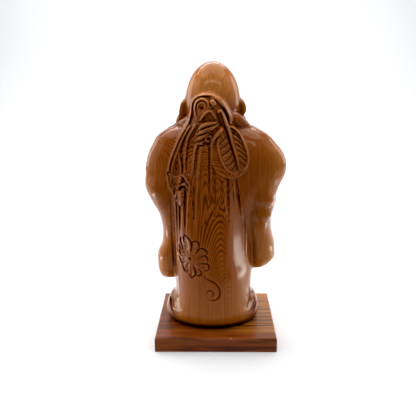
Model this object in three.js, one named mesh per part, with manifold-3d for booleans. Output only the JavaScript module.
// A carved wooden ornament: a stout monk with a treasure sack, standing on a square plinth board.
//
// The figure is one block of wood: a bald head with a tall skull, a wide-sleeved robe, and a long
// sack slung down the back. The sack is drawn together by a cord at the nape, above it its mouth
// opens in a frill, and a leaf-shaped fan, two ribbons and a tassel are tucked into the cord. In
// front the robe hangs open over chest and belly, a sash holds it, and both hands rest on the belly.
//
// Millimetres, +Z up. The origin is the centre of the plinth's underside, +Y is the way the figure
// faces, so its back and the sack are towards -Y, and +X is to the right as seen from behind.

import * as THREE from "three";
import { mergeVertices } from "three/addons/utils/BufferGeometryUtils.js";
import Module from "manifold-3d";

const wasm = await Module();
wasm.setup();

// Driving dimensions
const PLINTH_SIDE = 150;
const PLINTH_THICKNESS = 18;
const PLINTH_EDGE = 1.2; // the arris planed off the board's upper edges
const MIDDLE = -3; // where the figure's own middle plane stands on the plinth, along X
const CROWN = 348; // top of the skull above the floor
const HEAD = { y: 7, z: 300, halfWidth: 33.5, halfDepth: 38 };
const TIE = { x: -9.5, y: -33, z: 268, radius: 11.5, cord: 5, slant: 20 }; // where a cord draws in the sack
const MOUTH = { x: -6, z: 279, halfWidth: 23, height: 30, y: -35 }; // the frill above the cord
const FAN = { x: 22, y: -37.5, z: 241, length: 68, halfWidth: 19, thickness: 13, lean: 15, turn: 9 };
const FAN_RIM = 3.2;
const FAN_STICK = 4.4;
const ROOM = 400; // more than the figure's height, for the cut along its underside

// The robe's body from the sole to the shoulders: height, middle, half width, back and front.
const ROBE = [
  [18, -4, 56, -43, 50],
  [23, -4.5, 60, -46, 54],
  [31, -4.5, 61.5, -47, 55],
  [39, -4.5, 58, -45, 53],
  [48, -4, 52.5, -43, 50],
  [62, -2.5, 49, -41, 48],
  [85, -2.5, 48, -40, 47],
  [120, -2.5, 50, -40, 45],
  [160, -2.5, 53, -40, 43],
  [200, -2.5, 55, -39, 38],
];

// The cloth over both shoulders and the back, up to the neck, in the same columns.
const SHOULDERS = [
  [150, -1, 56, -22, 34],
  [165, -1.5, 67, -27, 37],
  [180, -4, 77, -32, 39],
  [195, -4.2, 85, -35.5, 40],
  [210, -0.5, 88.8, -38, 40],
  [225, 0.8, 88.7, -39, 39],
  [240, 0, 83.3, -38.5, 37],
  [250, -1.5, 76.5, -36.5, 34],
  [258, -3, 70.5, -33, 30],
  [264, -3.5, 62.5, -28.5, 25],
  [269, -4, 52, -22, 19],
  [273, -4.5, 36, -14, 12],
  [275, -4.5, 22, -8, 8],
];

// The two sleeves from the foot of the hanging bag to the upper arm, in the same columns.
const LEFT_SLEEVE = [
  [62.5, -65, 4, 8, 16],
  [65, -64, 9.5, 0, 24],
  [71, -62, 13, -8, 32],
  [80, -60, 16.5, -14, 38],
  [92, -60, 17.4, -17, 41],
  [103, -60, 16.8, -18, 42],
  [119, -55, 15.5, -17, 42],
  [136, -52, 17, -18, 44],
  [157, -54, 20, -22, 46],
  [178, -61, 23, -27, 45],
  [195, -66, 23, -29, 40],
  [212, -64, 20, -26, 32],
];
const RIGHT_SLEEVE = [
  [76, 50, 4, 6, 16],
  [79.5, 54, 9, -2, 24],
  [84, 55.5, 13.5, -8, 32],
  [90, 56.5, 16, -13, 37],
  [98, 59, 18, -16, 40],
  [108, 59, 18.3, -18, 42],
  [120, 58, 18.4, -18, 42],
  [131, 55, 18.4, -18, 43],
  [141, 53.5, 18, -19, 44],
  [157, 54, 18.7, -22, 46],
  [168, 56, 19.6, -25, 46],
  [179, 56, 20.4, -28, 44],
  [190, 57, 22.5, -30, 40],
  [212, 62, 22, -26, 32],
];

// The sack from its foot to its tied neck, in the same columns.
const SACK = [
  [18, -4.5, 44, -46.5, 0],
  [21, -4.5, 46.5, -50, 0],
  [30, -4.5, 48, -52.5, 0],
  [60, -4.5, 48, -54, 0],
  [85, -5.5, 47.5, -54.5, 0],
  [115, -7.5, 46, -55, 0],
  [150, -8, 45, -55.5, 0],
  [190, -8, 45.5, -55, 0],
  [215, -8, 46, -54, 0],
  [235, -8, 42, -52, 0],
  [248, -8.5, 33, -50, 0],
  [258, -9, 20, -48, 0],
  [264, -9.3, 12.5, -46, 0],
  [272, -9.5, 11, -45, 0],
  [280, -8.5, 15, -45, 0],
];

// How square the sections are: 2 is an ellipse, and more is squarer.
const SACK_SQUARENESS = 2.4;
const CLOAK_SQUARENESS = 2.5;
const SLEEVE_SQUARENESS = 2.2;
const ROBE_SQUARENESS = 2.15;

// The sack's long folds, as carved ridges down its back: [x, z] points, and the half width halfway.
const SACK_FOLDS = [
  { line: [[-17, 258], [-33, 249], [-37.5, 228], [-36, 203], [-38, 160]], halfWidth: 3.4 },
  { line: [[-14, 258], [-21, 246], [-26, 228], [-27.5, 208]], halfWidth: 2.8 },
  { line: [[-11, 256], [-18, 240], [-21.5, 212], [-21.5, 145]], halfWidth: 2.6 },
  { line: [[-7, 256], [-5.5, 236], [-7, 200], [-6, 142]], halfWidth: 2.6 },
  { line: [[-3, 254], [1.5, 222], [2, 165]], halfWidth: 2.4 },
  { line: [[8, 235], [13, 200], [11, 150]], halfWidth: 3 },
  { line: [[18, 222], [21, 190], [25, 130]], halfWidth: 3.6 },
];

// The two ribbons that fall from the frill over the left shoulder, in the same way.
const RIBBONS = [
  { line: [[-24, 293], [-38, 271], [-49, 243], [-55, 217], [-51, 192]], halfWidth: 3.8 },
  { line: [[-22, 286], [-33, 264], [-40, 245], [-43, 220]], halfWidth: 3.4 },
];
const TASSEL = { x: -43, knot: 212, drop: 189 };

// Small helpers

// A closed three.js geometry as a solid whose shared vertices are merged.
function solidOf(geometry) {
  const bare = geometry.clone();
  bare.deleteAttribute("normal");
  bare.deleteAttribute("uv");
  const merged = mergeVertices(bare, 1e-4);
  return new wasm.Manifold(
    new wasm.Mesh({
      numProp: 3,
      vertProperties: new Float32Array(merged.attributes.position.array),
      triVerts: new Uint32Array(merged.index.array),
    }),
  );
}

function geometryOf(solid) {
  const mesh = solid.getMesh();
  return new THREE.BufferGeometry()
    .setAttribute("position", new THREE.BufferAttribute(mesh.vertProperties, 3))
    .setIndex(new THREE.BufferAttribute(mesh.triVerts, 1));
}

// One row of a table of sections at any height, smoothly between the rows that are given.
function sectionAt(rows, z) {
  const last = rows.length - 1;
  let i = 0;
  while (i < last - 1 && z > rows[i + 1][0]) i++;
  const t = THREE.MathUtils.clamp((z - rows[i][0]) / (rows[i + 1][0] - rows[i][0]), 0, 1);
  return rows[i].map((_, column) => {
    const slope = (k) => {
      const a = rows[Math.max(k - 1, 0)];
      const b = rows[Math.min(k + 1, last)];
      return (b[column] - a[column]) / (b[0] - a[0]);
    };
    const step = rows[i + 1][0] - rows[i][0];
    const [p, q] = [rows[i][column], rows[i + 1][column]];
    const [m, n] = [slope(i) * step, slope(i + 1) * step];
    return (
      p * (1 + 2 * t) * (1 - t) ** 2 +
      m * t * (1 - t) ** 2 +
      q * t ** 2 * (3 - 2 * t) -
      n * t ** 2 * (1 - t)
    );
  });
}

// How far a section reaches from its middle in the direction of an angle, 0 being +X.
function reach([, , halfWidth, back, front], middleY, angle, squareness) {
  const depth = Math.sin(angle) < 0 ? middleY - back : front - middleY;
  const across = Math.abs(Math.cos(angle) / halfWidth) ** squareness;
  const along = Math.abs(Math.sin(angle) / depth) ** squareness;
  return (across + along) ** (-1 / squareness);
}

// A loft through a table of sections, as a closed cylinder whose vertices are moved. crowd turns the
// vertices towards the back, where the carving is finest.
function loft(rows, { around, up, squareness = 2, middleY = 0, crowd = 0 }) {
  const geometry = new THREE.CylinderGeometry(1, 1, 1, around, up);
  const place = geometry.attributes.position;
  const [bottom, top] = [rows[0][0], rows[rows.length - 1][0]];
  for (let i = 0; i < place.count; i++) {
    const z = THREE.MathUtils.lerp(bottom, top, place.getY(i) + 0.5);
    const turn = Math.atan2(-place.getZ(i), place.getX(i));
    const angle = turn - crowd * Math.cos(turn);
    const onAxis = Math.hypot(place.getX(i), place.getZ(i)) < 0.5;
    const section = sectionAt(rows, z);
    const far = onAxis ? 0 : reach(section, middleY, angle, squareness);
    place.setXYZ(i, section[1] + far * Math.cos(angle), middleY + far * Math.sin(angle), z);
  }
  return solidOf(geometry);
}

// An ellipsoid from its middle and half axes, turned about X, Y and Z by turns in degrees.
function egg(middle, halfAxes, { around = 7, up = 5, turns = [0, 0, 0] } = {}) {
  const [x, y, z] = turns.map(THREE.MathUtils.degToRad);
  const geometry = new THREE.SphereGeometry(1, around, up).rotateX(Math.PI / 2);
  geometry.applyMatrix4(
    new THREE.Matrix4().compose(
      new THREE.Vector3(...middle),
      new THREE.Quaternion().setFromEuler(new THREE.Euler(x, y, z)),
      new THREE.Vector3(...halfAxes),
    ),
  );
  return solidOf(geometry);
}

// A round-ended strand through points, as a capsule bent along a curve. Its half width swells from
// the share of it at either end, taper, to the full one halfway. outward is the way it stands proud.
function strand(
  points,
  halfWidth,
  { sides = 5, steps = 6, ends = 1, taper = [1, 1], outward = [0, -1, 0] } = {},
) {
  const curve = new THREE.CatmullRomCurve3(points.map((p) => new THREE.Vector3(...p)));
  const geometry = new THREE.CapsuleGeometry(1, 2, ends, sides, steps);
  const place = geometry.attributes.position;
  const [tangent, wide, proud] = [0, 1, 2].map(() => new THREE.Vector3());
  for (let i = 0; i < place.count; i++) {
    const y = place.getY(i);
    const t = THREE.MathUtils.clamp((y + 1) / 2, 0, 1);
    const past = y - (t * 2 - 1);
    const end = t < 0.5 ? taper[0] : taper[1];
    const half = halfWidth * THREE.MathUtils.lerp(end, 1, Math.sin(Math.PI * t));
    curve.getTangentAt(t, tangent);
    wide.set(...outward).cross(tangent).normalize().negate();
    proud.crossVectors(wide, tangent);
    const at = curve
      .getPointAt(t)
      .addScaledVector(tangent, past * half)
      .addScaledVector(wide, place.getX(i) * half)
      .addScaledVector(proud, place.getZ(i) * half);
    place.setXYZ(i, at.x, at.y, at.z);
  }
  return solidOf(geometry);
}

function join(solids) {
  return solids.reduce((all, next) => all.add(next));
}

// How far back, as Y, the cloth of one loft lies at a point [x, z] of it.
function backOf(rows, squareness, x, z) {
  const [first, last] = [rows[0][0], rows[rows.length - 1][0]];
  const [, middle, halfWidth, back] = sectionAt(rows, THREE.MathUtils.clamp(z, first, last));
  const off = Math.min(Math.abs(x - middle) / halfWidth, 1);
  return z > last ? 0 : back * (1 - off ** squareness) ** (1 / squareness);
}

// How far back the figure reaches at [x, z]: the frill above the tie, the sack and shoulders below.
function backAt(x, z) {
  const above = z > MOUTH.z ? MOUTH.y : 0;
  return Math.min(above, backOf(SACK, SACK_SQUARENESS, x, z), backOf(SHOULDERS, CLOAK_SQUARENESS, x, z));
}

// Points that are given as [x, z], laid on the figure's back, and sunk into it by a depth.
function onBack(points, depth) {
  return points.map(([x, z]) => [x, backAt(x, z) + depth, z]);
}

// The figure's parts

// The skull with its cheeks, nose, chin and neck. The face is a plain, calm one.
function head() {
  const { y, z, halfWidth, halfDepth } = HEAD;
  const face = (across, forward, up) => [MIDDLE + across, y + forward, z + up];
  const skull = egg([MIDDLE, y, z], [halfWidth, halfDepth, CROWN - z], { around: 22, up: 13 });
  const paired = (side) => {
    const ridge = [face(side * 5, 36.2, 7), face(side * 13, 34.2, 10), face(side * 22, 27, 6)];
    const cheek = egg(face(side * 15, 18, -18), [16, 17, 17], { around: 9, up: 6 });
    const lid = egg(face(side * 13, 32.5, 0), [7.5, 4, 4.2]);
    const brow = strand(ridge, 2.2, { steps: 3, taper: [0.6, 0.3] });
    const nostril = egg(face(side * 4.4, 38.5, -16.5), [3.2, 3.6, 2.8], { around: 6, up: 4 });
    return join([cheek, lid, brow, nostril]);
  };
  const bridge = [face(0, 36, 6), face(0, 40, -8), face(0, 42, -15)];
  const nose = strand(bridge, 3.4, { steps: 3, taper: [0.6, 1.2] });
  const upperLip = egg(face(0, 29, -24), [12, 8, 3], { around: 9 });
  const lowerLip = egg(face(0, 28, -30), [9, 8, 3]);
  const chin = egg(face(0, 24, -38), [15, 14, 9], { around: 9 });
  return join([skull, paired(-1), paired(1), nose, upperLip, lowerLip, chin]);
}

// An ear with the long lobe that rests on the shoulder. side is -1 on the left, seen from behind.
function ear(side) {
  const out = (x) => MIDDLE + side * x;
  const shell = egg([out(34.5), 8, 291], [5.5, 9.5, 12.5], { turns: [0, side * 10, 0] });
  const lobe = egg([out(side < 0 ? 41.5 : 39.5), 9, 277], [5.5, 6.5, 9.5], { turns: [0, side * -16, 0] });
  return shell.add(lobe);
}

// A sleeve: the upper arm's cloth, the long bag that hangs below it, and the cuff round the wrist.
function sleeve(side) {
  const out = (x) => side * x;
  const rows = side < 0 ? LEFT_SLEEVE : RIGHT_SLEEVE;
  const bag = loft(rows, { around: 12, up: 11, squareness: SLEEVE_SQUARENESS, middleY: 12 });
  const forearmLine = [[out(60), 20, 168], [out(50), 36, 158], [out(38), 45, 152]];
  const forearm = strand(forearmLine, 17, { sides: 8, steps: 2, taper: [0.95, 0.85] });
  const cuffLine = [[out(39), 40, 170], [out(29), 50, 154], [out(39), 50, 136]];
  const cuff = strand(cuffLine, 5, { steps: 3, taper: [0.9, 0.9] });
  return join([bag, forearm, cuff]);
}

// A hand laid on the belly: its back, the four fingers one below the other, and the thumb.
function hand(side) {
  const at = (across, forward, up) => [MIDDLE + side * across, forward, up];
  const palm = egg(at(28, 51, 152), [11, 8, 13], { around: 8, turns: [0, side * -12, side * 20] });
  const fingers = [0, 1, 2, 3].map((k) => {
    const root = 26 - k * 1.2;
    const up = 160 - k * 5.6;
    const line = [at(root, 52, up), at(root - 8, 57, up - 1.5), at(root - 16, 58 + k * 0.5, up - 5)];
    return strand(line, 3.1, { steps: 2, taper: [1, 0.7] });
  });
  const thumbLine = [at(27, 52, 163), at(20, 55.5, 168), at(13, 55.5, 169)];
  const thumb = strand(thumbLine, 3, { steps: 2, taper: [1, 0.8] });
  return join([palm, ...fingers, thumb]);
}

// Chest, belly and neck, bare between the edges of the open robe.
function torso() {
  const belly = egg([MIDDLE, 18, 124], [42, 43, 42], { around: 17, up: 9 });
  const chest = egg([MIDDLE, 10, 196], [40, 34, 46], { around: 12, up: 7 });
  const breasts = [-1, 1].map((side) =>
    egg([MIDDLE + side * 16, 27, 196], [17, 16, 15], { around: 8, up: 6 }),
  );
  const neck = egg([MIDDLE, 14, 250], [21, 24, 20], { around: 8 });
  return join([belly, chest, ...breasts, neck]);
}

// One turned-back edge of the robe, from the nape down beside the belly to the sash.
function collar(side) {
  const line = [
    [12, -16, 277],
    [25, 6, 268],
    [27, 28, 248],
    [34, 40, 215],
    [41, 40, 180],
    [44, 42, 130],
    [34, 50, 92],
  ].map(([across, forward, up]) => [MIDDLE + side * across, forward, up]);
  return strand(line, 5, { steps: 10, taper: [0.8, 0.9] });
}

// The sash below the belly, with its bow and two tails.
function sash() {
  const reachOut = 44;
  const band = [-1, -0.7, 0, 0.7, 1].map((t) => [MIDDLE + reachOut * t, 56 - 22 * t * t, 82 + 8 * t * t]);
  const loop = (side) => egg([MIDDLE + side * 9, 60, 80], [9, 4.5, 5.5], { turns: [0, side * 18, 0] });
  const tail = (side, length) => {
    const line = [0, 0.5, 1].map((t) => [MIDDLE + side * 8 * t, 59 - 2 * t * t, 78 - length * t]);
    return strand(line, 4, { steps: 3, taper: [0.6, 1] });
  };
  const knot = egg([MIDDLE, 61, 80], [5, 5, 5.5]);
  const belt = strand(band, 6, { sides: 6, taper: [0.8, 0.8] });
  return join([belt, loop(-1), loop(1), tail(-1, 34), tail(1, 27), knot]);
}

// Folds of the skirt in front, and the tips of the two feet under the hem.
function skirt() {
  const fold = (x) => {
    const front = 53 - x * x * 0.009;
    const line = [
      [MIDDLE + x * 0.8, front - 6, 74],
      [MIDDLE + x, front, 40],
      [MIDDLE + x * 1.08, front, 27],
    ];
    return strand(line, 4, { steps: 3, taper: [0.4, 1] });
  };
  const foot = (side) => egg([MIDDLE + side * 21, 51, 21], [12.5, 17, 8], { around: 9 });
  return join([...[-40, -27, 27, 40].map(fold), foot(-1), foot(1)]);
}

// The sack's body, its folds, and the cord wound three times round its neck.
function sack() {
  const body = loft(SACK, { around: 28, up: 13, squareness: SACK_SQUARENESS, crowd: 0.35 });
  const folds = SACK_FOLDS.map(({ line, halfWidth }) =>
    strand(onBack(line, halfWidth * 0.35), halfWidth, { sides: 4, steps: 5, taper: [0.6, 0.15] }),
  );
  const turns = [-1, 0, 1].map((k) => {
    const ring = new THREE.TorusGeometry(TIE.radius, TIE.cord / 2, 5, 12);
    ring.rotateY(THREE.MathUtils.degToRad(-TIE.slant));
    return solidOf(ring.translate(TIE.x, TIE.y, TIE.z + k * TIE.cord));
  });
  return join([body, ...folds, ...turns]);
}

// The sack's open mouth above the cord: a hood of cloth with a thick rim, and the folds inside it.
function frill() {
  const { x, z, halfWidth, height, y } = MOUTH;
  const hood = egg([x, y + 4, z + 2], [halfWidth, 9, height - 1], { around: 10, up: 7 });
  const arch = [-0.1, 0.12, 0.3, 0.5, 0.7, 0.88, 1.02].map((share) => {
    const angle = Math.PI * (1 - share);
    return [x + halfWidth * Math.cos(angle), y - 2, z + height * Math.sin(angle)];
  });
  const rim = strand(arch, 3.2, { steps: 10, taper: [0.9, 1] });
  const scroll = [x - 9.5, y - 5, z + 15];
  const ring = new THREE.TorusGeometry(6.5, 2.2, 4, 10).rotateX(Math.PI / 2).translate(...scroll);
  const folds = [
    { line: [[x - 10, y - 5, z], [x, y - 6, z + 11], [x + 7, y - 5, z + 1]], halfWidth: 2.6 },
    { line: [[x + 12, y - 4, z + 12], [x + 14, y - 6, z + 2], [x + 17, y - 7, z - 7]], halfWidth: 3.8 },
    { line: [[x + 18, y, z + 17], [x + 24, y - 2, z + 6], [x + 26, y - 3, z - 2]], halfWidth: 4.4 },
    { line: [[x + 20, y + 4, z + 9], [x + 35, y + 12, z + 2], [x + 48, y + 24, z - 11]], halfWidth: 6 },
  ].map(({ line, halfWidth: half }) => strand(line, half, { steps: 3, taper: [0.8, 0.8] }));
  const heart = egg(scroll, [4, 4, 4]);
  const knob = egg([x + 3.4, y - 7, z + 20], [5, 5, 6]);
  return join([hood, rim, solidOf(ring), heart, knob, ...folds]);
}

// The fan: a leaf-shaped plate with a raised rim, and its stick as the midrib.
function fan() {
  const { length, halfWidth, thickness } = FAN;
  const leaf = (inset) => {
    const wide = halfWidth - inset;
    const long = length / 2 - inset;
    return new THREE.Shape()
      .moveTo(0, long)
      .bezierCurveTo(-wide * 0.9, long * 0.75, -wide * 1.3, -long * 0.75, 0, -long)
      .bezierCurveTo(wide * 1.3, -long * 0.75, wide * 0.9, long * 0.75, 0, long);
  };
  const plate = (inset, depth) =>
    solidOf(new THREE.ExtrudeGeometry(leaf(inset), { depth, bevelEnabled: false, curveSegments: 6 }));
  const border = plate(0, thickness).subtract(plate(FAN_RIM, thickness + 1));
  const midrib = [length / 2 + 10, 0, FAN_RIM - length / 2].map((along) => [0, along, thickness]);
  const stand = new THREE.Matrix4()
    .makeTranslation(FAN.x, FAN.y, FAN.z)
    .multiply(new THREE.Matrix4().makeRotationZ(THREE.MathUtils.degToRad(FAN.turn)))
    .multiply(new THREE.Matrix4().makeRotationY(THREE.MathUtils.degToRad(-FAN.lean)))
    .multiply(new THREE.Matrix4().makeRotationX(Math.PI / 2));
  const handle = strand(midrib, FAN_STICK / 2, { outward: [0, 0, 1] });
  return join([plate(0, thickness - 2), border, handle]).transform(stand.elements);
}

// The ribbons over the left shoulder, and the tassel below them.
function ribbons() {
  const { x, knot, drop } = TASSEL;
  const back = backAt(x, knot);
  const hanging = RIBBONS.map(({ line, halfWidth }) =>
    strand(onBack(line, -0.5), halfWidth, { taper: [0.9, 0.7] }),
  );
  const head = egg([x + 1, back, knot], [5, 5, 7]);
  const neck = strand([[x + 1, back + 1, knot - 4], [x, back + 1, drop + 2]], 4, { steps: 2 });
  const tuft = egg([x, back + 1, drop], [5.6, 6, 13]);
  return join([...hanging, head, neck, tuft]);
}

function figure() {
  const robe = loft(ROBE, { around: 24, up: 9, squareness: ROBE_SQUARENESS });
  const shoulders = loft(SHOULDERS, { around: 28, up: 12, squareness: CLOAK_SQUARENESS });
  const sides = [-1, 1].flatMap((side) => [ear(side), sleeve(side), hand(side), collar(side)]);
  const front = [torso(), sash(), skirt()];
  const behind = [sack(), frill(), fan(), ribbons()];
  const whole = join([robe, shoulders, head(), ...sides, ...front, ...behind]);
  // The block was sawn flat below, so everything stops at the plinth's top.
  const room = new THREE.BoxGeometry(ROOM, ROOM, ROOM).translate(0, 0, ROOM / 2 + PLINTH_THICKNESS);
  return geometryOf(whole.intersect(solidOf(room)));
}

// A square board, drawn in a little along the arris of its upper face.
function plinth() {
  const half = PLINTH_SIDE / 2;
  const square = (reachOut) => {
    const corners = [[-1, -1], [1, -1], [1, 1], [-1, 1]];
    return new THREE.Shape(corners.map(([x, y]) => new THREE.Vector2(x * reachOut, y * reachOut)));
  };
  const board = new THREE.ExtrudeGeometry(square(half), { depth: PLINTH_THICKNESS, bevelEnabled: false });
  const place = board.attributes.position;
  const skin = board.clone();
  for (let i = 0; i < place.count; i++) {
    const [x, y] = [place.getX(i), place.getY(i)];
    const top = place.getZ(i) > 0;
    place.setZ(i, top ? PLINTH_THICKNESS - PLINTH_EDGE : 0);
    const reachOut = top ? half - PLINTH_EDGE : half;
    skin.attributes.position.setXYZ(
      i,
      Math.sign(x) * reachOut,
      Math.sign(y) * reachOut,
      top ? PLINTH_THICKNESS : PLINTH_THICKNESS - PLINTH_EDGE,
    );
  }
  return geometryOf(solidOf(board).add(solidOf(skin)));
}

function piece(name, geometry, color, roughness) {
  const mesh = new THREE.Mesh(geometry, new THREE.MeshStandardMaterial({ color, roughness, metalness: 0 }));
  mesh.name = name;
  return mesh;
}

const statue = new THREE.Group();
statue.add(piece("figure", figure(), 0xa8642c, 0.35));
statue.add(piece("plinth", plinth(), 0x8a4a24, 0.4));

export default statue;
